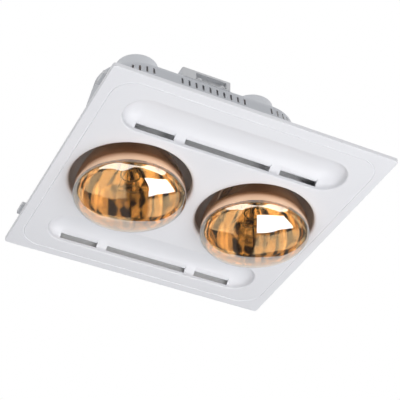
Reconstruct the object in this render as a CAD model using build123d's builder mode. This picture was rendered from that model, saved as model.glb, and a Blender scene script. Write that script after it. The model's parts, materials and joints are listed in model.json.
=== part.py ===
from build123d import *
import os
from math import atan, cos, degrees, radians, sin, sqrt, tan

# Bathroom ceiling heater with two reflector lamps
# The origin is the centre of the ceiling plane, and +Z goes up into the ceiling void
# +X runs along the row of lamps, and the terminal box is on the -Y side

# Values that several pieces share
overrun = 4.0
sheet = 1.5
running_gap = 0.3
fit_gap = 0.1
lamp_radius = 62.5
lamp_hole_gap = 6.0
lamp_bridge = 18.4

# Fascia panel
fascia_width = 330.0
fascia_height = 5.0
fascia_wall = 2.5
fascia_margin = 21.3
fascia_corner = 4.0
fascia_edge_round = 1.2
groove_inset = 12.0
groove_width = 2.0
groove_depth = 0.75
groove_corner = 27.0
lamp_hole_lip = 4.0
collar_height = 10.0
scoop_spacing = 217.0
scoop_inset = 35.5
scoop_half_width = 25.0
scoop_depth = 12.0
scoop_lip = 2.0
slit_height = 5.5
slit_above_face = 3.8
slit_inner_reach = 14.0
middle_slit_length = 103.0
side_slit_length = 46.0
slit_bridge = 12.5
post_radius = 3.5
post_length = 11.5
post_inset = 12.0
post_spacing = 140.0
post_chamfer = 0.8

# Housing
flange_gap = 2.0
flange_corner = 6.0
tray_inset_x = 10.5
tray_inset_y = 27.0
tray_height = 20.0
tray_corner = 18.0
tub_mouth_radius = 71.4
tub_roof_radius = 49.5
tub_height = 115.0
skirt_gap = 1.0
cap_foot_radius = 33.0
cap_top_radius = 26.0
cap_height = 36.0
vent_height = 10.0
vent_width = 2.5
vent_below_roof = 5.5
vent_pitch = 9.0
vents_in_row = 10
vent_turn_pitch = 9.4
vent_turn_start = -1.5
vents_on_turn = 4
end_vent_pitch = 10.3
end_vents = 6
mount_hole_radius = 2.75
mount_spacing_x = 280.0

# Clips for the posts of the fascia panel
clip_sheet = 1.2
clip_width = 16.0
clip_leg = 12.0
clip_level = 4.0
clip_reach = 17.0
rivet_radius = 2.0
rivet_head_radius = 3.6
rivet_head_height = 1.2

# Ceiling latches
latch_inset_x = 14.0
latch_inset_y = 16.0
latch_reach = 23.0
latch_thickness = 4.0
latch_boss_radius = 6.5
latch_tip_width = 20.0
latch_pin_radius = 2.0
latch_head_radius = 4.0
latch_head_height = 2.0
latch_swing_gap = 1.5
latch_round = 1.5

# Lamps
lamp_reach = 34.0
glass_wall = 1.2
glass_length = 151.7
front_height = 15.3
neck_radius = 17.5
lamp_cap_radius = 13.1
lamp_cap_length = 25.8
lamp_cap_shoulder = 2.0
cap_sheet = 0.5
contact_radius = 4.5
contact_height = 3.5
stem_foot_radius = 6.0
stem_tip_radius = 3.0
stem_length = 82.0
ring_radius = 11.0
ring_wire_radius = 0.9
ring_level = 46.0
lead_radius = 0.6
lead_spread = 3.8
reflector_radius_shares = (0.987, 0.925, 0.82, 0.68, 0.54, 0.42, 0.345, 0.305)
reflector_level_shares = (0.145, 0.224, 0.322, 0.434, 0.553, 0.671, 0.776, 0.868)
front_radius_shares = (0.32, 0.608, 0.8, 0.928, 0.985)
front_level_shares = (0.07, 0.26, 0.46, 0.69, 0.88)

# Lamp holders
holder_radius = 19.5
shell_wall = 0.75
shell_inset = 1.5
shell_length = 24.5
holder_bore_depth = 31.5
leaf_length = 20.0
leaf_width = 7.0
leaf_thickness = 0.8
leaf_dimple_radius = 2.5
strap_thickness = 2.0
strap_length = 40.0
strap_width = 12.0
strap_screw_spacing = 28.0
screw_radius = 1.6
screw_head_radius = 3.0
screw_head_height = 1.8
strap_screw_length = 12.0
side_terminal_width = 6.0
side_terminal_height = 11.0
side_terminal_depth = 5.0
side_terminal_pocket = 2.5
live_terminal_y = 8.0
neutral_terminal_y = -2.0

# Terminal box
box_length = 63.0
box_width = 44.0
box_height = 12.0
box_centre_x = -8.5
box_overhang = 0.5
box_wall = 2.0
box_corner = 2.0
well_inset_x = 3.0
well_inset_near = 5.0
well_inset_far = 3.0
well_depth = 14.0
recess_length = 39.5
recess_depth = 6.0
recess_offset = 5.75
recess_rim = 1.0
recess_post_radius = 3.5
recess_post_spacing = 29.7
recess_post_height = 6.5
cover_thickness = 2.0
cover_screw_radius = 1.4
cover_screw_length = 7.5
cover_boss_radius = 3.2
cover_boss_inset = 5.0
cord_hole_radius = 3.25
cord_hole_level = 3.5
clamp_length = 30.0
clamp_width = 6.0
clamp_thickness = 2.5
clamp_spacing = 22.0
clamp_back = 14.0
clamp_boss_radius = 3.2
saddle_width = 3.0
clamp_screw_length = 8.0
clamp_head_radius = 2.4
clamp_head_height = 1.4

# Terminal block
block_length = 36.0
block_width = 15.0
block_height = 15.0
pole_pitch = 11.0
pole_offset = 0.5
insert_width = 7.0
insert_height = 10.0
insert_level = 1.0
pole_screw_radius = 1.4
pole_screw_head = 2.2
pole_screw_spacing = 8.0

# Wires
wire_radius = 1.1
wire_level = 7.5
neutral_rise = 3.5
neutral_drop = 2.5
wire_in_block = 6.0
wire_side_reach = 50.0
wire_far_reach = 36.0

# Thermal cut-out and earth tag
cutout_y = 25.0
cutout_radius = 8.0
cutout_height = 10.0
bracket_length = 34.0
bracket_width = 12.0
bracket_sheet = 1.2
tab_length = 6.0
tab_width = 6.3
tab_thickness = 0.8
roof_screw_length = 4.0
earth_tag_x = 14.0
earth_tag_y = 3.0
earth_tag_foot = 12.0
earth_tag_drop = 9.0

# Sizes and places that follow from the values
lamp_hole_radius = lamp_radius + lamp_hole_gap
lamp_spacing = 2 * lamp_hole_radius + lamp_bridge
fascia_length = lamp_spacing + 2 * (lamp_hole_radius + fascia_margin)
scoop_straight = fascia_length - 2 * (scoop_half_width + scoop_inset)
tray_length = fascia_length - 2 * tray_inset_x
tray_width = fascia_width - 2 * tray_inset_y
face_z = -fascia_height
lamp_xs = (-lamp_spacing / 2, lamp_spacing / 2)
roof_z = tray_height + tub_height
roof_inside_z = roof_z - sheet
cap_top_z = roof_z + cap_height
tub_taper = degrees(atan((tub_mouth_radius - tub_roof_radius) / tub_height))
cap_taper = degrees(atan((cap_foot_radius - cap_top_radius) / cap_height))
flange_length = fascia_length - 2 * fascia_wall - 2 * flange_gap
flange_width = fascia_width - 2 * fascia_wall - 2 * flange_gap
mount_spacing_y = (tray_width + flange_width) / 2
tray_inside_x = tray_length / 2 - sheet
post_x = tray_length / 2 - post_inset
post_y = post_spacing / 2
lamp_front_z = face_z - lamp_reach
widest_z = lamp_front_z + front_height
glass_top_z = lamp_front_z + glass_length
lamp_cap_top_z = glass_top_z + lamp_cap_length
contact_top_z = lamp_cap_top_z + contact_height
holder_foot_z = glass_top_z + running_gap
holder_top_z = cap_top_z - sheet - strap_thickness
shell_bore = lamp_cap_radius + running_gap
box_near_y = -tub_roof_radius - box_overhang
box_centre_y = box_near_y + box_width / 2
box_far_y = box_near_y + box_width
box_rim_z = roof_z + box_height
well_floor_z = roof_z - well_depth + box_wall
recess_x = box_centre_x + recess_offset
recess_floor_z = roof_z + recess_rim
block_y = box_far_y - well_inset_far - box_wall - block_width / 2 - box_wall
block_far_y = block_y + block_width / 2
middle_pole_x = box_centre_x + pole_offset
live_pole_x = middle_pole_x - pole_pitch
neutral_pole_x = middle_pole_x + pole_pitch
wire_z = well_floor_z - box_wall + wire_level
upper_wire_z = wire_z + neutral_rise
lower_wire_z = wire_z - neutral_drop
stand = (Align.CENTER, Align.CENTER, Align.MIN)
hang = (Align.CENTER, Align.CENTER, Align.MAX)

os.makedirs("parts", exist_ok=True)


def keep(piece, name):
    piece.part.label = name
    export_step(piece.part, f"parts/{name}.step")


def upright_plane(x, z):
    # A plane through a vertical axis, with its own y up
    return Plane(origin=(x, 0, z), x_dir=(1, 0, 0), z_dir=(0, -1, 0))


def upright_axis(x, y=0):
    return Axis((x, y, 0), (0, 0, 1))


def tub_radius(z):
    # Outer radius of the tub's lobes at a height
    return tub_mouth_radius - (z - tray_height) * tan(radians(tub_taper))


def headed_pin(x, y, seat_z, head_radius, head_height, shank_radius, shank_length):
    # A screw or rivet from above, whose head sits on seat_z
    with Locations((x, y, seat_z)):
        Cylinder(head_radius, head_height, align=stand)
    with Locations((x, y, seat_z + head_height / 2)):
        Cylinder(shank_radius, shank_length + head_height / 2, align=hang)


def scoop_section(plane, half_width, depth, mouth, foot):
    # Half of a scoop's section, a quarter of an ellipse over a rounded or straight mouth
    with BuildSketch(plane) as section:
        with BuildLine():
            if mouth:
                rim = half_width + mouth
                Polyline((0, depth), (0, foot), (rim, foot), (rim, 0))
                CenterArc((rim, mouth), mouth, 180, 90)
            else:
                Polyline((0, depth), (0, foot), (half_width, foot), (half_width, scoop_lip))
            EllipticalCenterArc((0, scoop_lip), half_width, depth - scoop_lip, 0, arc_size=90)
        make_face()
    return section.sketch


def scoop(y, half_width, depth, mouth, foot, mode):
    # A long trough with rounded ends
    for end in (-1, 1):
        across = Plane(
            origin=(-end * scoop_straight / 2, y, face_z), x_dir=(0, end, 0), z_dir=(end, 0, 0)
        )
        half = scoop_section(across, half_width, depth, mouth, foot)
        extrude(half, amount=scoop_straight, mode=mode)
        upright = Plane(
            origin=(end * scoop_straight / 2, y, face_z), x_dir=(end, 0, 0), z_dir=(0, -end, 0)
        )
        turned = scoop_section(upright, half_width, depth, mouth, foot)
        revolve(turned, axis=upright_axis(end * scoop_straight / 2, y), mode=mode)


# Fascia panel: a shallow moulded tray, hollow at the back
with BuildPart() as fascia_panel:
    with BuildSketch(Plane.XY.offset(face_z)):
        RectangleRounded(fascia_length, fascia_width, fascia_corner)
    extrude(amount=fascia_height)
    fillet(fascia_panel.faces().sort_by(Axis.Z)[0].edges(), fascia_edge_round)
    with BuildSketch():
        RectangleRounded(
            fascia_length - 2 * fascia_wall,
            fascia_width - 2 * fascia_wall,
            fascia_corner - fascia_wall,
        )
    extrude(amount=-(fascia_height - fascia_wall), mode=Mode.SUBTRACT)

    # Collars round the lamp holes, shells of the scoops and posts on the back
    with BuildSketch(Plane.XY.offset(face_z + fascia_wall / 2)):
        with Locations(*[(x, 0) for x in lamp_xs]):
            Circle(lamp_hole_radius + fascia_wall)
    extrude(amount=collar_height - fascia_wall / 2)
    for end in (-1, 1):
        scoop(
            end * scoop_spacing / 2,
            scoop_half_width + fascia_wall,
            scoop_depth + fascia_wall,
            0,
            fascia_wall / 2,
            Mode.ADD,
        )
    with Locations((0, 0, face_z + fascia_wall / 2)):
        with GridLocations(2 * post_x, post_spacing, 2, 2):
            Cylinder(post_radius, post_length + fascia_wall / 2, align=stand)
    chamfer(
        fascia_panel.faces().filter_by(Axis.Z).sort_by(Axis.Z)[-4:].edges(), post_chamfer
    )

    # Lamp holes with rounded lips
    for x in lamp_xs:
        with BuildSketch(upright_plane(x, face_z)) as hole_half:
            with BuildLine():
                Polyline(
                    (lamp_hole_radius, lamp_hole_lip),
                    (lamp_hole_radius, collar_height + overrun),
                    (0, collar_height + overrun),
                    (0, -overrun),
                    (lamp_hole_radius + lamp_hole_lip, -overrun),
                    (lamp_hole_radius + lamp_hole_lip, 0),
                )
                CenterArc((lamp_hole_radius + lamp_hole_lip, lamp_hole_lip), lamp_hole_lip, 180, 90)
            make_face()
        revolve(axis=upright_axis(x), mode=Mode.SUBTRACT)

    # Hollows of the scoops and the slits in their flanks
    for end in (-1, 1):
        scoop_y = end * scoop_spacing / 2
        scoop(scoop_y, scoop_half_width, scoop_depth, scoop_lip, -overrun, Mode.SUBTRACT)
        slit_reach = scoop_half_width + fascia_wall + overrun
        side_slit_x = (middle_slit_length + side_slit_length) / 2 + slit_bridge
        for flank in (-1, 1):
            slit_y = scoop_y + flank * (slit_inner_reach + slit_reach) / 2
            slit_z = face_z + slit_above_face
            with Locations((0, slit_y, slit_z)):
                Box(
                    middle_slit_length,
                    slit_reach - slit_inner_reach,
                    slit_height,
                    align=stand,
                    mode=Mode.SUBTRACT,
                )
            with Locations((-side_slit_x, slit_y, slit_z), (side_slit_x, slit_y, slit_z)):
                Box(
                    side_slit_length,
                    slit_reach - slit_inner_reach,
                    slit_height,
                    align=stand,
                    mode=Mode.SUBTRACT,
                )

    # Soft groove round the face
    groove_radius = (groove_width**2 / 4 + groove_depth**2) / (2 * groove_depth)
    with BuildSketch(Plane.XY.offset(face_z + groove_depth - groove_radius)) as groove_path:
        RectangleRounded(
            fascia_length - 2 * groove_inset, fascia_width - 2 * groove_inset, groove_corner
        )
    groove_wire = groove_path.sketch.faces()[0].outer_wire()
    with BuildSketch(Plane(origin=groove_wire @ 0, z_dir=groove_wire % 0)) as groove_section:
        Circle(groove_radius)
    sweep(groove_section.sketch, path=groove_wire, mode=Mode.SUBTRACT)
keep(fascia_panel, "fascia_panel")

# Housing: flange and tray, tapered tub with two lobes, and a conical cap over each lamp holder
latch_x = tray_length / 2 - latch_inset_x
latch_y = tray_width / 2 - latch_inset_y
latch_top_z = tray_height - sheet - running_gap
latch_low_z = latch_top_z - latch_thickness
with BuildPart() as housing_body:
    with BuildSketch(Plane.XY.offset(-sheet)):
        RectangleRounded(flange_length, flange_width, flange_corner)
    extrude(amount=sheet)
    with BuildSketch():
        RectangleRounded(tray_length, tray_width, tray_corner)
    extrude(amount=tray_height)
    with BuildSketch(Plane.XY.offset(tray_height)):
        SlotCenterToCenter(lamp_spacing, 2 * tub_mouth_radius)
    extrude(amount=tub_height, taper=tub_taper)
    for x in lamp_xs:
        with BuildSketch(Plane.XY.offset(roof_z)):
            with Locations((x, 0)):
                Circle(cap_foot_radius)
        extrude(amount=cap_height, taper=cap_taper)

    # Hollow inside, open at the bottom
    with BuildSketch(Plane.XY.offset(-sheet - overrun)):
        RectangleRounded(tray_length - 2 * sheet, tray_width - 2 * sheet, tray_corner - sheet)
    extrude(amount=tray_height + overrun, mode=Mode.SUBTRACT)
    tub_void_z = tray_height - 2 * sheet
    tub_void_radius = tub_radius(tub_void_z) - sheet / cos(radians(tub_taper))
    with BuildSketch(Plane.XY.offset(tub_void_z)):
        SlotCenterToCenter(lamp_spacing, 2 * tub_void_radius)
    extrude(amount=roof_inside_z - tub_void_z, taper=tub_taper, mode=Mode.SUBTRACT)
    cap_void_radius = cap_foot_radius - sheet / cos(radians(cap_taper))
    for x in lamp_xs:
        with BuildSketch(Plane.XY.offset(roof_z - 2 * sheet)):
            with Locations((x, 0)):
                Circle(cap_void_radius)
        extrude(amount=cap_height + sheet, taper=cap_taper, mode=Mode.SUBTRACT)

    # Skirt that carries the tub's wall down to just over the collars of the fascia panel
    tray_roof_z = tray_height - sheet
    skirt_low_z = face_z + collar_height + skirt_gap
    skirt_radius = tub_radius(tray_roof_z) - sheet / cos(radians(tub_taper))
    with BuildSketch(Plane.XY.offset(skirt_low_z)):
        SlotCenterToCenter(lamp_spacing, 2 * (skirt_radius + sheet))
        SlotCenterToCenter(lamp_spacing, 2 * skirt_radius, mode=Mode.SUBTRACT)
    extrude(amount=tray_roof_z + sheet / 2 - skirt_low_z)

    # Vent slots below the roof, along both long walls and round both lobes
    vent_z = roof_z - vent_below_roof - vent_height / 2
    vent_reach = tub_radius(vent_z)
    vent_span = 4 * sheet + 2 * vent_height * tan(radians(tub_taper))
    for wall in (-1, 1):
        with Locations((0, wall * vent_reach, vent_z)):
            with GridLocations(vent_pitch, vent_pitch, vents_in_row, 1):
                Box(vent_width, vent_span, vent_height, mode=Mode.SUBTRACT)
    turn_angles = [vent_turn_start + i * vent_turn_pitch for i in range(vents_on_turn)]
    end_angles = [90 + (i - (end_vents - 1) / 2) * end_vent_pitch for i in range(end_vents)]
    lobe_angles = turn_angles + end_angles + [180 - angle for angle in turn_angles]
    for x in lamp_xs:
        outward = 1 if x > 0 else -1
        for angle in lobe_angles:
            heading = -90 + outward * angle
            slot_x = x + vent_reach * cos(radians(heading))
            slot_y = vent_reach * sin(radians(heading))
            with Locations(Location((slot_x, slot_y, vent_z), (0, 0, heading))):
                Box(vent_span, vent_width, vent_height, mode=Mode.SUBTRACT)

    # Opening for the terminal box, and slots for the ceiling latches
    well_length = box_length - 2 * well_inset_x
    well_width = box_width - well_inset_near - well_inset_far
    well_y = box_near_y + well_inset_near + well_width / 2
    with Locations((box_centre_x, well_y, roof_z)):
        Box(
            well_length + 2 * running_gap,
            well_width + 2 * running_gap,
            2 * sheet + overrun,
            mode=Mode.SUBTRACT,
        )
    latch_sweep = sqrt(latch_reach**2 + latch_tip_width**2 / 4)
    wall_reach = latch_inset_x - sheet
    slot_inner_y = latch_y - sqrt(latch_sweep**2 - wall_reach**2) - latch_swing_gap
    slot_outer_y = latch_y + latch_tip_width / 2 + latch_swing_gap
    slot_low_z = latch_low_z - latch_swing_gap
    with Locations((0, 0, slot_low_z)):
        with GridLocations(tray_length, slot_inner_y + slot_outer_y, 2, 2):
            Box(
                2 * wall_reach,
                slot_outer_y - slot_inner_y,
                tray_height - sheet - slot_low_z,
                align=stand,
                mode=Mode.SUBTRACT,
            )

    # Holes for the ceiling screws, latch pins, rivets, strap screws and roof screws
    with GridLocations(mount_spacing_x, mount_spacing_y, 2, 2):
        Cylinder(mount_hole_radius, 4 * sheet, mode=Mode.SUBTRACT)
    with Locations((0, 0, tray_height)):
        with GridLocations(2 * latch_x, 2 * latch_y, 2, 2):
            Cylinder(latch_pin_radius, 4 * sheet, mode=Mode.SUBTRACT)
    rivet_z = clip_level + clip_leg / 2
    for side in (-1, 1):
        for y in (-post_y, post_y):
            with Locations(Location((side * tray_length / 2, y, rivet_z), (0, 90, 0))):
                Cylinder(rivet_radius, 4 * sheet, mode=Mode.SUBTRACT)
    for x in lamp_xs:
        with Locations((x, 0, cap_top_z)):
            with GridLocations(strap_screw_spacing, strap_width, 2, 1):
                Cylinder(screw_radius, 4 * sheet, mode=Mode.SUBTRACT)
    roof_screw_places = (
        (middle_pole_x - bracket_length / 2 + cutout_radius / 2, cutout_y),
        (middle_pole_x + bracket_length / 2 - cutout_radius / 2, cutout_y),
        (earth_tag_x + earth_tag_foot / 2, earth_tag_y),
    )
    with Locations(*[(x, y, roof_z) for x, y in roof_screw_places]):
        Cylinder(screw_radius, 4 * sheet, mode=Mode.SUBTRACT)
keep(housing_body, "housing_body")

# Clips on the tray's side walls, which hold the posts of the fascia panel
clip_places = [(side, y) for side in (-1, 1) for y in (-post_y, post_y)]
with BuildPart() as fascia_clips:
    for side, y in clip_places:
        with Locations((side * (tray_inside_x - clip_sheet / 2), y, clip_level)):
            Box(clip_sheet, clip_width, clip_leg, align=stand)
        with Locations((side * (tray_inside_x - clip_reach / 2), y, clip_level)):
            Box(clip_reach, clip_width, clip_sheet, align=stand)
        with Locations((side * post_x, y, clip_level)):
            Cylinder(post_radius + running_gap, 4 * clip_sheet, mode=Mode.SUBTRACT)
        with Locations(Location((side * tray_inside_x, y, rivet_z), (0, 90, 0))):
            Cylinder(rivet_radius, 4 * clip_sheet, mode=Mode.SUBTRACT)
keep(fascia_clips, "fascia_clips")

with BuildPart() as clip_rivets:
    grip = sheet + clip_sheet
    for side, y in clip_places:
        outside = Location((side * tray_length / 2, y, rivet_z), (0, side * 90, 0))
        with Locations(outside):
            Cylinder(rivet_head_radius, rivet_head_height, align=stand)
            Cylinder(rivet_radius, grip, align=hang)
            with Locations((0, 0, -grip)):
                Cylinder(rivet_head_radius, rivet_head_height, align=hang)
keep(clip_rivets, "clip_rivets")

# Ceiling latches: each turns under the tray's top and swings out over the ceiling lining
for row, end in (("near", -1), ("far", 1)):
    for column, side in (("left", -1), ("right", 1)):
        with BuildPart() as ceiling_latch:
            hub = Plane(origin=(side * latch_x, end * latch_y, latch_low_z), x_dir=(side, 0, 0))
            with BuildSketch(hub):
                Circle(latch_boss_radius)
                with BuildLine():
                    Polyline(
                        (0, -latch_boss_radius),
                        (latch_reach, -latch_tip_width / 2),
                        (latch_reach, latch_tip_width / 2),
                        (0, latch_boss_radius),
                        close=True,
                    )
                make_face()
                Circle(latch_pin_radius + fit_gap, mode=Mode.SUBTRACT)
            extrude(amount=latch_thickness)
            tip_edges = ceiling_latch.edges().filter_by(Axis.Z).sort_by(Axis.X)
            fillet(tip_edges[-2:] if side > 0 else tip_edges[:2], latch_round)
        keep(ceiling_latch, f"{row}_{column}_latch")

with BuildPart() as latch_screws:
    pin_top_z = tray_height
    pin_foot_z = latch_low_z - running_gap
    for x in (-latch_x, latch_x):
        for y in (-latch_y, latch_y):
            with Locations((x, y, pin_top_z)):
                Cylinder(latch_head_radius, latch_head_height, align=stand)
                Cylinder(latch_pin_radius, pin_top_z - pin_foot_z, align=hang)
            with Locations((x, y, pin_foot_z)):
                Cylinder(latch_head_radius, latch_head_height, align=hang)
keep(latch_screws, "latch_screws")


def glass_outline(x, inset):
    # Half of the lamp's outline, moved in by inset, from the front's middle to the neck's end
    radius = lamp_radius - inset
    front_z = lamp_front_z + inset
    with BuildSketch(upright_plane(x, 0)) as outline:
        with BuildLine():
            front = [(0, front_z)]
            for radius_share, level_share in zip(front_radius_shares, front_level_shares):
                front.append((radius_share * radius, front_z + level_share * (widest_z - front_z)))
            front.append((radius, widest_z))
            Spline(*front, tangents=((1, 0), (0, 1)))
            back = [(radius, widest_z)]
            for radius_share, level_share in zip(reflector_radius_shares, reflector_level_shares):
                level = lamp_front_z + level_share * glass_length
                back.append((radius_share * lamp_radius - inset, level))
            back.append((neck_radius - inset, glass_top_z - inset))
            Spline(*back, tangents=((0, 1), (0, 1)))
            Polyline(
                (neck_radius - inset, glass_top_z - inset), (0, glass_top_z - inset), (0, front_z)
            )
        make_face()
    return outline.sketch


def rod(start, finish, radius):
    # A straight round rod between two points
    reach = Vector(*finish) - Vector(*start)
    with BuildSketch(Plane(origin=start, z_dir=reach)) as section:
        Circle(radius)
    extrude(section.sketch, amount=reach.length)


# Lamps and their holders, the same at both sides
for name, x in zip(("left", "right"), lamp_xs):
    inward = -1 if x > 0 else 1

    with BuildPart() as bulb:
        revolve(glass_outline(x, 0), axis=upright_axis(x))
        revolve(glass_outline(x, glass_wall), axis=upright_axis(x), mode=Mode.SUBTRACT)
    keep(bulb, f"{name}_bulb")

    # Screw cap of thin sheet, with a shoulder down to the contact
    with BuildPart() as lamp_cap:
        with Locations((x, 0, glass_top_z)):
            Cylinder(lamp_cap_radius, lamp_cap_length, align=stand)
        chamfer(lamp_cap.edges().sort_by(Axis.Z)[-1], lamp_cap_shoulder)
        offset(amount=-cap_sheet, openings=lamp_cap.faces().sort_by(Axis.Z)[0])
    keep(lamp_cap, f"{name}_lamp_cap")

    with BuildPart() as cap_contact:
        with Locations((x, 0, lamp_cap_top_z)):
            Cylinder(contact_radius, contact_height, align=stand)
        fillet(cap_contact.edges().sort_by(Axis.Z)[-1], contact_height / 2)
    keep(cap_contact, f"{name}_cap_contact")

    # Glass stem from the neck, with the wires that carry the ring of the filament
    stem_top_z = glass_top_z - glass_wall
    stem_tip_z = stem_top_z - stem_length
    ring_z = lamp_front_z + ring_level
    with BuildPart() as stem:
        with BuildSketch(upright_plane(x, stem_tip_z)):
            with BuildLine():
                Polyline(
                    (stem_tip_radius, stem_tip_radius),
                    (stem_foot_radius, stem_length),
                    (0, stem_length),
                    (0, 0),
                )
                CenterArc((0, stem_tip_radius), stem_tip_radius, -90, 90)
            make_face()
        revolve(axis=upright_axis(x))
    keep(stem, f"{name}_stem")

    with BuildPart() as filament:
        with Locations((x, 0, ring_z)):
            Torus(ring_radius, ring_wire_radius)
    keep(filament, f"{name}_filament")

    with BuildPart() as filament_supports:
        support_start = stem_tip_z + stem_tip_radius
        support_end = ring_z + ring_wire_radius + lead_radius
        for angle in (0, 90, 180, 270):
            outward_x = cos(radians(angle))
            outward_y = sin(radians(angle))
            rod(
                (x + lead_spread * outward_x, lead_spread * outward_y, support_start),
                (x + ring_radius * outward_x, ring_radius * outward_y, support_end),
                lead_radius,
            )
    keep(filament_supports, f"{name}_filament_supports")

    # Porcelain holder with the screw shell in its bore
    with BuildPart() as lamp_holder:
        with Locations((x, 0, holder_foot_z)):
            Cylinder(holder_radius, holder_top_z - holder_foot_z, align=stand)
            Cylinder(
                shell_bore + shell_wall, holder_bore_depth, align=stand, mode=Mode.SUBTRACT
            )
        pocket_z = wire_z + (neutral_rise - neutral_drop) / 2
        pocket_face = x + inward * (sqrt(holder_radius**2 - live_terminal_y**2) - side_terminal_pocket)
        for y in (live_terminal_y, neutral_terminal_y):
            with Locations((pocket_face + inward * side_terminal_depth / 2, y, pocket_z)):
                Box(
                    side_terminal_depth,
                    side_terminal_width,
                    side_terminal_height,
                    mode=Mode.SUBTRACT,
                )
        with Locations((x, 0, holder_top_z)):
            with GridLocations(strap_screw_spacing, strap_width, 2, 1):
                Cylinder(
                    screw_radius,
                    strap_screw_length - sheet - strap_thickness,
                    align=hang,
                    mode=Mode.SUBTRACT,
                )
    keep(lamp_holder, f"{name}_lamp_holder")

    with BuildPart() as holder_terminals:
        for y in (live_terminal_y, neutral_terminal_y):
            with Locations((pocket_face + inward * side_terminal_depth / 2, y, pocket_z)):
                Box(side_terminal_depth, side_terminal_width, side_terminal_height)
    keep(holder_terminals, f"{name}_holder_terminals")

    with BuildPart() as screw_shell:
        with Locations((x, 0, holder_foot_z + shell_inset)):
            Cylinder(shell_bore + shell_wall, shell_length, align=stand)
            Cylinder(shell_bore, shell_length, align=stand, mode=Mode.SUBTRACT)
    keep(screw_shell, f"{name}_screw_shell")

    # Contact leaf at the end of the bore, with a dimple over the lamp's contact
    leaf_top_z = holder_foot_z + holder_bore_depth
    with BuildPart() as centre_contact:
        with Locations((x, 0, leaf_top_z)):
            Box(leaf_length, leaf_width, leaf_thickness, align=hang)
            Cylinder(leaf_dimple_radius, leaf_top_z - contact_top_z - running_gap, align=hang)
        fillet(centre_contact.edges().sort_by(Axis.Z)[0], leaf_thickness / 2)
    keep(centre_contact, f"{name}_centre_contact")

    with BuildPart() as holder_bracket:
        with BuildSketch(Plane.XY.offset(holder_top_z)):
            with Locations((x, 0)):
                SlotOverall(strap_length, strap_width)
                with GridLocations(strap_screw_spacing, strap_width, 2, 1):
                    Circle(screw_radius, mode=Mode.SUBTRACT)
        extrude(amount=strap_thickness)
    keep(holder_bracket, f"{name}_holder_bracket")

with BuildPart() as holder_screws:
    for x in lamp_xs:
        for side in (-1, 1):
            headed_pin(
                x + side * strap_screw_spacing / 2,
                0,
                cap_top_z,
                screw_head_radius,
                screw_head_height,
                screw_radius,
                strap_screw_length,
            )
keep(holder_screws, "holder_screws")

# Terminal box on the roof, with a well down into the tub
cord_z = recess_floor_z + cord_hole_level
clamp_y = box_near_y + clamp_back
clamp_foot_z = cord_z + cord_hole_radius
cover_screw_places = (
    (box_centre_x - box_length / 2 + cover_boss_inset, box_near_y + cover_boss_inset),
    (box_centre_x + box_length / 2 - cover_boss_inset, box_far_y - cover_boss_inset),
)
with BuildPart() as terminal_box:
    with BuildSketch(Plane.XY.offset(roof_z)):
        with Locations((box_centre_x, box_centre_y)):
            RectangleRounded(box_length, box_width, box_corner)
    extrude(amount=box_height)
    with Locations((box_centre_x, well_y, roof_z)):
        Box(well_length, well_width, well_depth, align=hang)

    # The room inside: a wide ledge above and the well below
    recess_back_y = box_near_y + recess_depth + box_wall
    room_width = box_far_y - box_wall - recess_back_y
    with Locations((box_centre_x, box_far_y - box_wall - room_width / 2, roof_z + box_wall)):
        Box(box_length - 2 * box_wall, room_width, box_height, align=stand, mode=Mode.SUBTRACT)
    well_room_width = box_far_y - well_inset_far - box_wall - recess_back_y
    well_room_y = recess_back_y + well_room_width / 2
    with Locations((box_centre_x, well_room_y, well_floor_z)):
        Box(
            well_length - 2 * box_wall,
            well_room_width,
            well_depth + box_height,
            align=stand,
            mode=Mode.SUBTRACT,
        )

    # Recess for the cord's way in, with its two round-topped posts
    with Locations((recess_x, box_near_y, recess_floor_z)):
        Box(
            recess_length,
            2 * recess_depth,
            box_height - 2 * recess_rim,
            align=stand,
            mode=Mode.SUBTRACT,
        )
    with Locations(Location((recess_x, box_near_y + recess_depth, cord_z), (90, 0, 0))):
        Cylinder(cord_hole_radius, 4 * box_wall, mode=Mode.SUBTRACT)
    post_row_y = box_near_y + recess_depth - recess_post_radius
    for side in (-1, 1):
        with Locations((recess_x + side * recess_post_spacing / 2, post_row_y, recess_floor_z)):
            Cylinder(recess_post_radius, recess_post_height - recess_post_radius, align=stand)
        dome_z = recess_floor_z + recess_post_height - recess_post_radius
        with Locations((recess_x + side * recess_post_spacing / 2, post_row_y, dome_z)):
            Sphere(recess_post_radius, arc_size1=0)

    # Bosses for the cord clamp and the cover, and the saddle under the cord
    clamp_boss_height = clamp_foot_z - well_floor_z
    with Locations((recess_x, clamp_y, well_floor_z)):
        with GridLocations(clamp_spacing, clamp_width, 2, 1):
            Cylinder(clamp_boss_radius, clamp_boss_height, align=stand)
        Box(clamp_spacing, saddle_width, cord_z - cord_hole_radius - well_floor_z, align=stand)
    with Locations((recess_x, clamp_y, clamp_foot_z)):
        with GridLocations(clamp_spacing, clamp_width, 2, 1):
            Cylinder(
                cover_screw_radius,
                clamp_screw_length - clamp_thickness,
                align=hang,
                mode=Mode.SUBTRACT,
            )
    far_boss = cover_screw_places[1]
    with Locations((far_boss[0], far_boss[1], roof_z)):
        Cylinder(cover_boss_radius, box_height, align=stand)
    for screw_x, screw_y in cover_screw_places:
        with Locations((screw_x, screw_y, box_rim_z)):
            Cylinder(
                cover_screw_radius + fit_gap,
                cover_screw_length - cover_thickness + fit_gap,
                align=hang,
                mode=Mode.SUBTRACT,
            )

    # Holes for the wires in the well's far wall
    wire_holes = (
        (live_pole_x, wire_z),
        (middle_pole_x, wire_z),
        (neutral_pole_x, upper_wire_z),
        (neutral_pole_x, lower_wire_z),
    )
    for hole_x, hole_z in wire_holes:
        with Locations(Location((hole_x, box_far_y - well_inset_far, hole_z), (90, 0, 0))):
            Cylinder(wire_radius + running_gap, 4 * box_wall, mode=Mode.SUBTRACT)
keep(terminal_box, "terminal_box")

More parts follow.
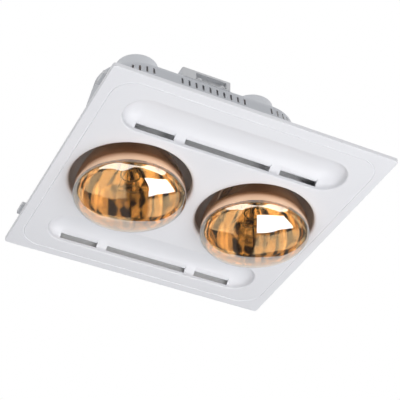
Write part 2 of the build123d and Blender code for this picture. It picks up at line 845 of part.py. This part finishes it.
with BuildPart() as terminal_box_cover:
    with BuildSketch(Plane.XY.offset(box_rim_z)):
        with Locations((box_centre_x, box_centre_y)):
            RectangleRounded(box_length, box_width, box_corner)
        with Locations(*cover_screw_places):
            Circle(cover_screw_radius, mode=Mode.SUBTRACT)
    extrude(amount=cover_thickness)
keep(terminal_box_cover, "terminal_box_cover")

with BuildPart() as cover_screws:
    for screw_x, screw_y in cover_screw_places:
        headed_pin(
            screw_x,
            screw_y,
            box_rim_z + cover_thickness,
            screw_head_radius,
            screw_head_height,
            cover_screw_radius,
            cover_screw_length,
        )
keep(cover_screws, "cover_screws")

with BuildPart() as cord_clamp:
    with BuildSketch(Plane.XY.offset(clamp_foot_z)):
        with Locations((recess_x, clamp_y)):
            SlotOverall(clamp_length, clamp_width)
    extrude(amount=clamp_thickness)
    with Locations((recess_x, clamp_y, clamp_foot_z + clamp_thickness)):
        with GridLocations(clamp_spacing, clamp_width, 2, 1):
            CounterBoreHole(cover_screw_radius, clamp_head_radius, clamp_head_height)
keep(cord_clamp, "cord_clamp")

with BuildPart() as cord_clamp_screws:
    for side in (-1, 1):
        headed_pin(
            recess_x + side * clamp_spacing / 2,
            clamp_y,
            clamp_foot_z + clamp_thickness - clamp_head_height,
            clamp_head_radius,
            clamp_head_height,
            cover_screw_radius,
            clamp_screw_length - clamp_head_height,
        )
keep(cord_clamp_screws, "cord_clamp_screws")

# Terminal block: moulded body, a brass insert for each pole, and two screws for each insert
insert_z = well_floor_z + insert_level
insert_top_z = insert_z + insert_height
block_top_z = well_floor_z + block_height
poles = (
    (live_pole_x, (wire_z,)),
    (middle_pole_x, (wire_z,)),
    (neutral_pole_x, (upper_wire_z, lower_wire_z)),
)
pole_screw_ys = (block_y - pole_screw_spacing / 2, block_y + pole_screw_spacing / 2)
with BuildPart() as terminal_block:
    with Locations((middle_pole_x, block_y, well_floor_z)):
        Box(block_length, block_width, block_height, align=stand)
    for pole_x, levels in poles:
        with Locations((pole_x, block_y, insert_z)):
            Box(insert_width, 2 * block_width, insert_height, align=stand, mode=Mode.SUBTRACT)
        with Locations(*[(pole_x, y, block_top_z) for y in pole_screw_ys]):
            Cylinder(pole_screw_head + fit_gap, block_height / 2, align=hang, mode=Mode.SUBTRACT)
keep(terminal_block, "terminal_block")

with BuildPart() as terminal_inserts:
    for pole_x, levels in poles:
        with Locations((pole_x, block_y, insert_z)):
            Box(insert_width, block_width, insert_height, align=stand)
        for level in levels:
            with Locations(Location((pole_x, block_y, level), (90, 0, 0))):
                Cylinder(wire_radius + fit_gap, 2 * block_width, mode=Mode.SUBTRACT)
        with Locations(*[(pole_x, y, max(levels)) for y in pole_screw_ys]):
            Cylinder(pole_screw_radius, block_height, align=stand, mode=Mode.SUBTRACT)
keep(terminal_inserts, "terminal_inserts")

with BuildPart() as terminal_screws:
    for pole_x, levels in poles:
        for y in pole_screw_ys:
            tip_z = max(levels) + wire_radius + fit_gap
            headed_pin(
                pole_x,
                y,
                insert_top_z,
                pole_screw_head,
                screw_head_height,
                pole_screw_radius,
                insert_top_z - tip_z,
            )
keep(terminal_screws, "terminal_screws")

# Thermal cut-out under the roof, its bracket and its tabs
bracket_z = roof_inside_z - bracket_sheet
with BuildPart() as thermal_cutout:
    with Locations((middle_pole_x, cutout_y, bracket_z)):
        Cylinder(cutout_radius, cutout_height, align=hang)
    fillet(thermal_cutout.edges().sort_by(Axis.Z)[0], bracket_sheet)
keep(thermal_cutout, "thermal_cutout")

with BuildPart() as cutout_bracket:
    with BuildSketch(Plane.XY.offset(bracket_z)):
        with Locations((middle_pole_x, cutout_y)):
            SlotOverall(bracket_length, bracket_width)
        with Locations(*roof_screw_places[:2]):
            Circle(screw_radius, mode=Mode.SUBTRACT)
    extrude(amount=bracket_sheet)
keep(cutout_bracket, "cutout_bracket")

tab_reach = cutout_radius + tab_length
with BuildPart() as cutout_tabs:
    for side in (-1, 1):
        with Locations((middle_pole_x + side * tab_reach / 2, cutout_y, wire_z)):
            Box(tab_reach, tab_width, tab_thickness)
    with Locations((middle_pole_x, cutout_y, wire_z)):
        Cylinder(cutout_radius, cutout_height, mode=Mode.SUBTRACT)
keep(cutout_tabs, "cutout_tabs")

# Earth tag, bent from strip and screwed under the roof
with BuildPart() as earth_tag:
    with Locations((earth_tag_x + earth_tag_foot / 2, earth_tag_y, roof_inside_z)):
        Box(earth_tag_foot, tab_width, tab_thickness, align=hang)
    with Locations((earth_tag_x + tab_thickness / 2, earth_tag_y, roof_inside_z)):
        Box(tab_thickness, tab_width, earth_tag_drop, align=hang)
    with Locations((*roof_screw_places[2], roof_inside_z)):
        Cylinder(screw_radius, 4 * tab_thickness, mode=Mode.SUBTRACT)
keep(earth_tag, "earth_tag")

with BuildPart() as roof_screws:
    for screw_x, screw_y in roof_screw_places:
        headed_pin(
            screw_x,
            screw_y,
            roof_z,
            screw_head_radius,
            screw_head_height,
            screw_radius,
            roof_screw_length,
        )
keep(roof_screws, "roof_screws")


def wire(points):
    # A round wire through the points, with an arc at each turn as large as its two runs allow
    corners = []
    for before, here, after in zip(points, points[1:], points[2:]):
        arriving = Vector(*here) - Vector(*before)
        leaving = Vector(*after) - Vector(*here)
        half_turn = radians(arriving.get_angle(leaving)) / 2
        corners.append(0.45 * min(arriving.length, leaving.length) / tan(half_turn))
    with BuildPart() as run:
        with BuildLine() as route:
            if corners:
                FilletPolyline(*points, radius=corners)
            else:
                Line(*points)
        with BuildSketch(Plane(origin=route.wire() @ 0, z_dir=route.wire() % 0)):
            Circle(wire_radius)
        sweep(path=route.wire())
    print("wire", "length", round(route.wire().length, 1), "radii", [round(r, 1) for r in corners])
    return run


# Wires, from the terminal block to the cut-out, the side terminals and the earth tag
start_y = block_far_y - wire_in_block
tab_near_y = cutout_y - tab_width / 2
tab_x = middle_pole_x + cutout_radius + tab_length / 2
side_face = lamp_spacing / 2 - sqrt(holder_radius**2 - live_terminal_y**2)
side_face = side_face + side_terminal_pocket - side_terminal_depth
live_lift = tab_thickness / 2 + wire_radius
keep(wire([(live_pole_x, start_y, wire_z), (live_pole_x, tab_near_y, wire_z)]), "live_feed_wire")
for name, side, lift, neutral_z in (
    ("left", -1, live_lift, upper_wire_z),
    ("right", 1, -live_lift, lower_wire_z),
):
    live_z = wire_z + lift
    live_points = [
        (tab_x, cutout_y, live_z),
        (tab_x, wire_far_reach, live_z),
        (side * wire_side_reach, wire_far_reach, live_z),
        (side * wire_side_reach, live_terminal_y, live_z),
        (side * side_face, live_terminal_y, live_z),
    ]
    keep(wire(live_points), f"{name}_live_wire")
    neutral_points = [
        (neutral_pole_x, start_y, neutral_z),
        (neutral_pole_x, neutral_terminal_y, neutral_z),
        (side * side_face, neutral_terminal_y, neutral_z),
    ]
    keep(wire(neutral_points), f"{name}_neutral_wire")
earth_points = [
    (middle_pole_x, start_y, wire_z),
    (middle_pole_x, earth_tag_y, wire_z),
    (earth_tag_x, earth_tag_y, wire_z),
]
keep(wire(earth_points), "earth_wire")
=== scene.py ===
import json
import math
import bmesh
import bpy
import numpy as np
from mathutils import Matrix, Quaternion, Vector


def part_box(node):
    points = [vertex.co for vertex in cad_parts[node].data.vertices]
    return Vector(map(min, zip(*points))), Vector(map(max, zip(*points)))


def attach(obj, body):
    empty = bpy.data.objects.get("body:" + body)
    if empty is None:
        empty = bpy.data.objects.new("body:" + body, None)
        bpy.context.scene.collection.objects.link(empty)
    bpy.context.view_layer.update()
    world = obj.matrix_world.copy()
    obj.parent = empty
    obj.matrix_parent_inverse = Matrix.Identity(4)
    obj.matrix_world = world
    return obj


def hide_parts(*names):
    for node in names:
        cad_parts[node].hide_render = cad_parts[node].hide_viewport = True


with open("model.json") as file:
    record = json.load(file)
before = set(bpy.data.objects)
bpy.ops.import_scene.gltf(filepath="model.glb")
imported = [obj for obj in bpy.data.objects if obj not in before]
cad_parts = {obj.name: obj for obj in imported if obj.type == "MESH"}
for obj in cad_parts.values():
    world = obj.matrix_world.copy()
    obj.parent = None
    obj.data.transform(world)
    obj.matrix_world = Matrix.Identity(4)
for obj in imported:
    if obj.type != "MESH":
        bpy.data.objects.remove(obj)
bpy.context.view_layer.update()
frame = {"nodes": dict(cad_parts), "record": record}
nodes = frame["nodes"]
scene = bpy.context.scene
scene.view_settings.view_transform = "Standard"


# Shader maths reads as plain sums: a Wire is one output socket of a finish
class Wire:
    def __init__(self, finish, socket):
        self.finish = finish
        self.socket = socket

    def __add__(self, other):
        return self.finish.maths("ADD", self, other)

    def __mul__(self, other):
        return self.finish.maths("MULTIPLY", self, other)

    __radd__ = __add__
    __rmul__ = __mul__


class Finish:
    def __init__(self, name, world=None):
        self.owner = world or bpy.data.materials.new(name)
        self.owner.use_nodes = True
        self.tree = self.owner.node_tree
        self.shader = self.tree.nodes.get("Principled BSDF")

    def add(self, kind, settings=None, inputs=None, output=0):
        node = self.tree.nodes.new(kind)
        for key, value in (settings or {}).items():
            setattr(node, key, value)
        for key, value in (inputs or {}).items():
            self.feed(node.inputs[key], value)
        return Wire(self, node.outputs[output])

    def feed(self, socket, value):
        if isinstance(value, Wire):
            self.tree.links.new(value.socket, socket)
        elif isinstance(value, tuple) and socket.type == "RGBA":
            socket.default_value = (*value, 1.0)
        else:
            socket.default_value = value

    def set(self, **values):
        # Socket names are written in camelCase, such as baseColor
        for key, value in values.items():
            name = "".join(" " + c if c.isupper() else c for c in key).title().replace("Ior", "IOR")
            self.feed(self.shader.inputs[name], value)

    def maths(self, operation, *values):
        return self.add("ShaderNodeMath", {"operation": operation}, dict(enumerate(values)))

    def spot(self):
        return self.add("ShaderNodeTexCoord", output="Object")

    def along(self, axis):
        return self.add("ShaderNodeSeparateXYZ", {}, {0: self.spot()}, axis)

    def rays(self, *kinds):
        # 1 for a ray of one of these kinds, such as "Camera"
        first, *others = (self.add("ShaderNodeLightPath", output=f"Is {kind} Ray") for kind in kinds)
        return sum(others, first)

    def rise(self, value, low, high):
        # 0 up to low, 1 from high on
        return self.add("ShaderNodeMapRange", {}, {0: value, 1: low, 2: high, 3: 0.0, 4: 1.0})

    def noise(self, size, detail=2.0):
        return self.add("ShaderNodeTexNoise", {}, {"Vector": self.spot(), "Scale": 1 / size, "Detail": detail})

    def tint(self, factor, first, second):
        # A colour Mix node has its factor at socket 0, its colours at 6 and 7 and its result at output 2
        return self.add("ShaderNodeMix", {"data_type": "RGBA"}, {0: factor, 6: first, 7: second}, 2)

    def glow(self, colour, strength):
        return self.add("ShaderNodeEmission", {}, {"Color": colour, "Strength": strength})

    def matt(self, colour):
        return self.add("ShaderNodeBsdfDiffuse", {}, {"Color": colour})

    def cover(self, factor, first, second):
        # The surface is the first shader where the factor is 0 and the second where it is 1
        mixed = self.add("ShaderNodeMixShader", {}, {0: factor, 1: first, 2: second})
        self.feed(self.tree.nodes["Material Output"].inputs["Surface"], mixed)


# Camera, from the photograph's viewpoint below and to the left
camera = {
    "place": (-0.48007, -1.01632, -0.88459),
    "aim": (0.00380, -0.00921, -0.005),
    "roll": 0.654,
    "lens": 113.8,
    "sensor": 36.0,
    "clip": (0.05, 60.0),
}


def addCamera(values):
    data = bpy.data.cameras.new("viewCamera")
    data.lens = values["lens"]
    data.sensor_width = values["sensor"]
    data.sensor_fit = "HORIZONTAL"
    data.clip_start, data.clip_end = values["clip"]
    eye = bpy.data.objects.new("viewCamera", data)
    scene.collection.objects.link(eye)
    place = Vector(values["place"])
    look = (Vector(values["aim"]) - place).to_track_quat("-Z", "Y")
    turn = Quaternion((0, 0, 1), math.radians(values["roll"]))
    eye.rotation_mode = "QUATERNION"
    eye.location = place
    eye.rotation_quaternion = look @ turn
    scene.camera = eye


addCamera(camera)
print("camera placed")


# Studio: pale floor and backdrop, white sky and three soft boxes below the heater. The floor is pale to the
# camera. Outside a slanting dark band, mirrors see a faint glow in it and glass lets pale panes through.
studio = {
    "floorLevel": -1.8,
    "floorHalf": 14.0,
    "backdropDistance": 4.2,
    "backdropHeight": 9.0,
    "white": (1.0, 1.0, 1.0),
    "paleColour": (0.93, 0.93, 0.93),
    "shadeColour": (0.05, 0.05, 0.05),
    "skyForShade": 0.82,
    "bandSlope": -0.47,
    "bandHalf": 0.22,
    "bandFade": 1.3,
    "sideGlow": 0.08,
    "paneGlow": 3.4,
    "paneSize": 1.7,
    "paneTurn": 0.44,
    "softBoxes": (
        ("rightBox", (0.66, 0.37, -1.22), (0.60, 0.55), -30, 5.6),
        ("sideBox", (0.46, -0.80, -1.06), (0.86, 1.16), 8, 2.9),
        ("leftBox", (-0.62, -0.33, -1.12), (0.80, 1.16), 18, 3.0),
    ),
}


def stagePlane(name, corners, material):
    mesh = bpy.data.meshes.new(name)
    mesh.from_pydata(corners, [], [(0, 1, 2, 3)])
    mesh.materials.append(material)
    plane = bpy.data.objects.new(name, mesh)
    scene.collection.objects.link(plane)


def floorFinish(values):
    made = Finish("paleFloor")
    across = made.along("X") + values["bandSlope"] * made.along("Y")
    half = values["bandHalf"]
    lit = made.rise(made.maths("ABSOLUTE", across), half, half * values["bandFade"])
    turn = {"Vector": made.spot(), "Rotation": (0, 0, values["paneTurn"])}
    panes = {"Vector": made.add("ShaderNodeMapping", {}, turn), "Scale": 1 / values["paneSize"]}
    panes = made.add("ShaderNodeTexChecker", {}, panes, "Fac")
    mirrored = made.rays("Glossy") * values["sideGlow"]
    through = made.rays("Transmission") * panes * values["paneGlow"]
    haze = made.glow(values["white"], lit * (mirrored + through))
    shade = made.add("ShaderNodeAddShader", {}, {0: haze, 1: made.matt(values["shadeColour"])})
    made.cover(made.rays("Camera"), shade, made.glow(values["paleColour"], 1.0))
    return made.owner


def backdropFinish(values):
    made = Finish("whiteBackdrop")
    seen = made.rays("Camera", "Glossy", "Transmission")
    made.cover(seen, made.matt(values["paleColour"]), made.glow(values["white"], 1.0))
    return made.owner


def addSky(values):
    # Full white where it is seen, a little dimmer as light on matt faces
    scene.world = bpy.data.worlds.new("studioWorld")
    sky = Finish("sky", scene.world)
    seen = sky.rays("Camera", "Glossy", "Transmission")
    background = sky.tree.nodes["Background"]
    sky.feed(background.inputs["Color"], values["white"])
    sky.feed(background.inputs["Strength"], values["skyForShade"] + seen * (1 - values["skyForShade"]))


def addSoftBox(name, place, size, turn, radiance):
    light = bpy.data.lights.new(name, "AREA")
    light.shape = "RECTANGLE"
    light.size, light.size_y = size
    light.energy = radiance * math.pi * size[0] * size[1]
    box = bpy.data.objects.new(name, light)
    scene.collection.objects.link(box)
    facing = (-Vector(place)).to_track_quat("-Z", "Y")
    box.rotation_mode = "QUATERNION"
    box.rotation_quaternion = facing @ Quaternion((0, 0, 1), math.radians(turn))
    box.location = place


def addStudio(values):
    level, half = values["floorLevel"], values["floorHalf"]
    back, top = values["backdropDistance"], level + values["backdropHeight"]
    flat = [(-half, -half, level), (half, -half, level), (half, half, level), (-half, half, level)]
    upright = [(-half, back, level), (half, back, level), (half, back, top), (-half, back, top)]
    stagePlane("floor", flat, floorFinish(values))
    stagePlane("backdrop", upright, backdropFinish(values))
    addSky(values)
    for softBox in values["softBoxes"]:
        addSoftBox(*softBox)


addStudio(studio)
print("studio lit")


# Looks: two colours drift into one another over cloudSize, and the roughness goes up by as much as smudge
# over smudgeSize. A grain of size, height and strength adds fine bumps. Between the heights of change, the
# colours become upperColours. Lengths are in metres.
cloudDetail, metalDetail, grainDetail = 2.0, 4.0, 3.0


def metalLook(light, dark, roughness, cloudSize=0.004):
    return {
        "cloudSize": cloudSize,
        "cloudDetail": metalDetail,
        "colours": (light, dark),
        "roughness": roughness,
        "smudgeSize": 0.6 * cloudSize,
        "smudge": 0.12,
        "others": {"metallic": 1.0},
    }


def sleeveLook(light, dark):
    return {
        "cloudSize": 0.004,
        "colours": (light, dark),
        "roughness": 0.4,
        "smudgeSize": 0.003,
        "smudge": 0.15,
    }


# The look of each material slot, with the name of its finish
slotLooks = {
    "panel_plastic": ("panelPlastic", {
        "cloudSize": 0.09,
        "colours": ((0.79, 0.795, 0.83), (0.82, 0.825, 0.86)),
        "roughness": 0.3,
        "smudgeSize": 0.02,
        "smudge": 0.1,
        "grain": (0.0016, 0.00003, 0.5),
        "others": {"specularIorLevel": 0.4},
    }),
    # Bluish grey tub; above the change heights the caps are painted paler, painted light on the top of the
    # housing
    "white_steel": ("whiteEnamel", {
        "cloudSize": 0.05,
        "colours": ((0.56, 0.58, 0.62), (0.62, 0.64, 0.68)),
        "upperColours": ((0.70, 0.72, 0.76), (0.76, 0.78, 0.82)),
        "change": (0.130, 0.137),
        "roughness": 0.38,
        "smudgeSize": 0.012,
        "smudge": 0.12,
        "grain": (0.0028, 0.00005, 0.6),
    }),
    "box_plastic": ("mouldedGrey", {
        "cloudSize": 0.02,
        "colours": ((0.70, 0.71, 0.73), (0.76, 0.77, 0.79)),
        "roughness": 0.45,
        "smudgeSize": 0.006,
        "smudge": 0.12,
        "grain": (0.0012, 0.00003, 0.6),
    }),
    "zinc_steel": ("zincSteel", metalLook((0.62, 0.63, 0.65), (0.54, 0.55, 0.57), 0.3)),
    "aluminium": ("aluminium", metalLook((0.80, 0.80, 0.81), (0.74, 0.74, 0.75), 0.28)),
    "brass": ("brass", metalLook((0.80, 0.62, 0.30), (0.72, 0.55, 0.26), 0.25)),
    "tungsten": ("tungsten", metalLook((0.40, 0.38, 0.36), (0.34, 0.33, 0.32), 0.3, 0.0008)),
    "porcelain": ("porcelain", {
        "cloudSize": 0.01,
        "colours": ((0.86, 0.84, 0.79), (0.82, 0.80, 0.75)),
        "roughness": 0.22,
        "smudgeSize": 0.004,
        "smudge": 0.1,
        "others": {"coatWeight": 0.4},
    }),
    "brown_sleeve": ("brownSleeve", sleeveLook((0.20, 0.09, 0.04), (0.16, 0.07, 0.03))),
    "blue_sleeve": ("blueSleeve", sleeveLook((0.05, 0.13, 0.45), (0.04, 0.10, 0.38))),
    "green_sleeve": ("greenSleeve", sleeveLook((0.10, 0.30, 0.06), (0.14, 0.34, 0.08))),
    # Gold-tinted front, darker in a thin line where the mirror of the bowl ends
    "lamp_glass": ("frontGlass", {
        "cloudSize": 0.03,
        "colours": ((0.66, 0.46, 0.235), (0.64, 0.44, 0.225)),
        "upperColours": ((0.10, 0.05, 0.03), (0.10, 0.05, 0.03)),
        "change": (-0.0224, -0.0221),
        "roughness": 0.0,
        "others": {
            "transmissionWeight": 1.0,
            "ior": 1.9,
            "coatWeight": 1.0,
            "coatRoughness": 0.0,
            "coatIor": 1.9,
        },
    }),
    "stem_glass": ("stemGlass", {
        "roughness": 0.02,
        "others": {"baseColor": (0.95, 0.97, 0.96), "transmissionWeight": 1.0, "ior": 1.5},
    }),
}

# Paler white on the faces that look into the housing: partly a lighter inner paint, partly painted light that
# brightens the dim inside
innerPaintedLightLook = {
    "cloudSize": 0.05,
    "colours": ((0.93, 0.935, 0.94), (0.96, 0.965, 0.97)),
    "roughness": 0.3,
    "smudgeSize": 0.012,
    "smudge": 0.1,
}

# Outside and inside of the lamps' mirrored bowls
copperLook = {
    "cloudSize": 0.03,
    "colours": ((0.98, 0.67, 0.46), (0.96, 0.64, 0.42)),
    "roughness": 0.07,
    "smudgeSize": 0.01,
    "smudge": 0.03,
    "others": {"metallic": 1.0},
}
goldLook = {
    "cloudSize": 0.02,
    "colours": ((0.93, 0.87, 0.78), (0.90, 0.83, 0.73)),
    "roughness": 0.05,
    "smudgeSize": 0.006,
    "smudge": 0.04,
    "others": {"metallic": 1.0},
}


def finishOf(name, look):
    made = Finish(name)
    if "colours" in look:
        cloud = made.noise(look["cloudSize"], look.get("cloudDetail", cloudDetail))
        colour = made.tint(cloud, *look["colours"])
        if "upperColours" in look:
            upper = made.tint(cloud, *look["upperColours"])
            colour = made.tint(made.rise(made.along("Z"), *look["change"]), colour, upper)
        made.set(baseColor=colour)
    roughness = look["roughness"]
    if "smudge" in look:
        roughness = roughness + made.noise(look["smudgeSize"]) * look["smudge"]
    made.set(roughness=roughness, **look.get("others", {}))
    if "grain" in look:
        size, height, strength = look["grain"]
        inputs = {"Strength": strength, "Distance": height, "Height": made.noise(size, grainDetail)}
        made.set(normal=made.add("ShaderNodeBump", {}, inputs))
    return made.owner


finishes = {slot: finishOf(name, look) for slot, (name, look) in slotLooks.items()}
slotOf = {part["node"]: part["material_slot"] for part in frame["record"]["subparts"]}
for name, piece in nodes.items():
    finish = finishes[slotOf[name]]
    if piece.data.materials:
        for index in range(len(piece.data.materials)):
            piece.data.materials[index] = finish
    else:
        piece.data.materials.append(finish)
print("finishes on", len(nodes), "nodes")


# Smooth copies of the moulded and pressed pieces, with crisp edges kept
smoothPieces = {
    "fascia_panel": ("fasciaSkin", "fascia"),
    "housing_body": ("housingSkin", "housing"),
    "terminal_box": ("terminalBoxSkin", "housing"),
}
smoothValues = {
    "merge": 1e-6,
    # Degrees from which an edge stays crisp
    "edgeAngle": 32,
    # Radians given to an edge with one face, over any limit, so that it stays crisp
    "openEdgeAngle": 4.0,
    "normalWeight": 80,
}


def smoothCopy(node, name, body, values):
    mesh = nodes[node].data.copy()
    mesh.name = name
    shape = bmesh.new()
    shape.from_mesh(mesh)
    bmesh.ops.remove_doubles(shape, verts=shape.verts, dist=values["merge"])
    limit = math.radians(values["edgeAngle"])
    for edge in shape.edges:
        edge.smooth = edge.calc_face_angle(values["openEdgeAngle"]) < limit
    for face in shape.faces:
        face.smooth = True
    shape.to_mesh(mesh)
    shape.free()
    piece = bpy.data.objects.new(name, mesh)
    scene.collection.objects.link(piece)
    weigh = piece.modifiers.new("even", "WEIGHTED_NORMAL")
    weigh.keep_sharp = True
    weigh.weight = values["normalWeight"]
    view = bpy.context.evaluated_depsgraph_get()
    piece.data = bpy.data.meshes.new_from_object(piece.evaluated_get(view), depsgraph=view)
    piece.modifiers.clear()
    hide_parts(node)
    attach(piece, body)
    return piece


# Height of the tray's roof, half sizes of its room, height of the caps and half the lamps' spacing
housingValues = {"trayRoof": 0.0195, "trayInside": (0.155, 0.136), "caps": 0.137, "lampHalf": 0.0777}


def markInside(piece, material, values):
    # A face is inside where it lies in the tray, or below the caps looks to the line between the lamps
    mesh = piece.data
    mesh.materials.append(material)
    count = len(mesh.polygons)
    normal, centre = np.zeros(count * 3), np.zeros(count * 3)
    mesh.polygons.foreach_get("normal", normal)
    mesh.polygons.foreach_get("center", centre)
    normal, centre = normal.reshape(-1, 3), centre.reshape(-1, 3)
    line = np.clip(centre[:, 0], -values["lampHalf"], values["lampHalf"])
    inward = normal[:, 0] * (line - centre[:, 0]) - normal[:, 1] * centre[:, 1]
    inside = (inward > 0) & (centre[:, 2] < values["caps"])
    within = np.all(np.abs(centre[:, :2]) < values["trayInside"], axis=1)
    inside |= within & (centre[:, 2] < values["trayRoof"])
    mesh.polygons.foreach_set("material_index", inside.astype(np.int32))


skins = {node: smoothCopy(node, *named, smoothValues) for node, named in smoothPieces.items()}
# The inside faces take the paler inner white, partly painted light
markInside(skins["housing_body"], finishOf("innerEnamelPaintedLight", innerPaintedLightLook), housingValues)
print("smooth pieces made")


def gridMesh(name, points):
    # Quads over a grid of points that is closed in both directions
    rows, columns = points.shape[:2]
    index = np.arange(rows * columns).reshape(rows, columns)
    below, right = np.roll(index, -1, axis=0), np.roll(index, -1, axis=1)
    quads = np.stack([index, below, np.roll(below, -1, axis=1), right], axis=-1)
    mesh = bpy.data.meshes.new(name)
    mesh.from_pydata(points.reshape(-1, 3).tolist(), [], quads.reshape(-1, 4).tolist())
    return mesh


def turned(profile, x, turns):
    # A profile of (radius, height) turned round a lamp's axis
    angle = np.linspace(0, 2 * math.pi, turns, endpoint=False)
    radius, height = profile[:, :1], profile[:, 1:]
    flat = np.ones_like(angle)[None, :]
    return np.stack([x + radius * np.cos(angle), radius * np.sin(angle), height * flat], axis=-1)


def tubeMesh(name, line, radius, sides):
    # A round tube along a closed line, each ring square to the line. It never runs along offLine.
    offLine = (0.123, 0.456, 0.881)
    ahead = np.roll(line, -1, axis=0) - np.roll(line, 1, axis=0)
    ahead /= np.linalg.norm(ahead, axis=1, keepdims=True)
    across = np.cross(ahead, offLine)
    across /= np.linalg.norm(across, axis=1, keepdims=True)
    over = np.cross(ahead, across)
    angle = np.linspace(0, 2 * math.pi, sides, endpoint=False)[None, :, None]
    ring = across[:, None, :] * np.cos(angle) + over[:, None, :] * np.sin(angle)
    return gridMesh(name, line[:, None, :] + radius * ring)


def smoothLine(points, count):
    # Catmull-Rom curve through the points, count steps to a span
    points = np.array(points, float)
    ends = np.vstack([2 * points[0] - points[1], points, 2 * points[-1] - points[-2]])
    step = np.linspace(0, 1, count, endpoint=False)[None, :, None]
    a, b, c, d = (ends[i : len(ends) - 3 + i, None, :] for i in range(4))
    line = 0.5 * (
        2 * b + (c - a) * step + (2 * a - 5 * b + 4 * c - d) * step**2 + (3 * b - a - 3 * c + d) * step**3
    )
    return np.vstack([line.reshape(-1, points.shape[1]), points[-1:]])


# Lamps: clear front, mirrored bowl and wound filament. Radius shares are of the bulb's radius, front levels
# of frontHeight and bowl levels of the bulb's length.
lampValues = {
    "wall": 0.0012,
    "turns": 160,
    "spanSteps": 10,
    "merge": 1e-7,
    "frontRadiusShares": (0, 0.32, 0.608, 0.8, 0.928, 0.985, 1.0, 0.9985),
    "frontLevelShares": (0, 0.07, 0.26, 0.46, 0.69, 0.88, 1.0, 1.13),
    "frontHeight": 0.0153,
    "bowlRadiusShares": (0.9985, 0.994, 0.968, 0.88, 0.735, 0.575, 0.435, 0.345, 0.305, 0.28),
    "bowlLevelShares": (0.1141, 0.15, 0.224, 0.322, 0.434, 0.553, 0.671, 0.776, 0.868, 1.0),
    "coilRadius": 0.0009,
    "coilWire": 0.00022,
    "coilTurns": 90,
    "coilSteps": 12,
    "coilSides": 6,
}


def addPiece(name, mesh, materials, merge, body, replaced):
    for material in materials:
        mesh.materials.append(material)
    shape = bmesh.new()
    shape.from_mesh(mesh)
    bmesh.ops.remove_doubles(shape, verts=shape.verts, dist=merge)
    bmesh.ops.recalc_face_normals(shape, faces=shape.faces)
    for face in shape.faces:
        face.smooth = True
    shape.to_mesh(mesh)
    shape.free()
    piece = bpy.data.objects.new(name, mesh)
    scene.collection.objects.link(piece)
    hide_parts(replaced)
    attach(piece, body)


def shellMesh(name, x, outer, inner, turns):
    # A thin turned shell: out along one line and back along the other
    return gridMesh(name, turned(np.vstack([outer, inner[::-1]]), x, turns))


def frontMesh(name, x, base, radius, values):
    wall, height, steps = values["wall"], values["frontHeight"], values["spanSteps"]
    shares = np.array([values["frontRadiusShares"], values["frontLevelShares"]]).T
    outer = smoothLine(shares * (radius, height), steps) + (0, base)
    inner = smoothLine(shares * (radius - wall, height - wall), steps) + (0, base + wall)
    for line in (outer, inner):
        line[:, 0] = np.maximum(line[:, 0], 0)
    return shellMesh(name, x, outer, inner, values["turns"])


def bowlMesh(name, x, base, radius, length, values):
    shares = np.array([values["bowlRadiusShares"], values["bowlLevelShares"]]).T
    bowl = shares * (radius, length)
    outer = smoothLine(bowl, values["spanSteps"]) + (0, base)
    inner = smoothLine(bowl - (values["wall"], 0), values["spanSteps"]) + (0, base)
    mesh = shellMesh(name, x, outer, inner, values["turns"])
    # The way back, on the inside of the bowl, takes the second material
    inside = np.zeros(len(mesh.polygons), dtype=np.int32)
    inside[len(outer) * values["turns"] :] = 1
    mesh.polygons.foreach_set("material_index", inside)
    return mesh


def coilMesh(name, x, low, high, values):
    # The wire winds round the ring that the solid filament follows
    turns, wire = values["coilTurns"], values["coilWire"]
    ring = (high.x - low.x) / 2 - values["coilRadius"]
    level = (low.z + high.z) / 2
    winding = values["coilRadius"] - wire
    around = np.linspace(0, 2 * math.pi, turns * values["coilSteps"], endpoint=False)
    reach = ring + winding * np.cos(around * turns)
    lift = winding * np.sin(around * turns)
    line = np.stack([x + reach * np.cos(around), reach * np.sin(around), level + lift], axis=-1)
    return tubeMesh(name, line, wire, values["coilSides"])


def addLamp(side, mirrors, values):
    low, high = (Vector(corner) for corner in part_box(f"{side}_bulb"))
    x = (low.x + high.x) / 2
    radius, length = max(high.x - low.x, high.y - low.y) / 2, high.z - low.z
    body, bulb, merge = f"{side}_lamp", f"{side}_bulb", values["merge"]

    mesh = frontMesh(f"{side}FrontGlass", x, low.z, radius, values)
    addPiece(f"{side}FrontGlass", mesh, [finishes["lamp_glass"]], merge, body, bulb)
    mesh = bowlMesh(f"{side}Bowl", x, low.z, radius, length, values)
    addPiece(f"{side}Bowl", mesh, mirrors, merge, body, bulb)

    low, high = (Vector(corner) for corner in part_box(f"{side}_filament"))
    mesh = coilMesh(f"{side}Coil", x, low, high, values)
    addPiece(f"{side}Coil", mesh, [finishes["tungsten"]], merge, body, f"{side}_filament")


mirrors = [finishOf("copperMirror", copperLook), finishOf("goldMirror", goldLook)]
for side in ("left", "right"):
    addLamp(side, mirrors, lampValues)
print("lamps made")
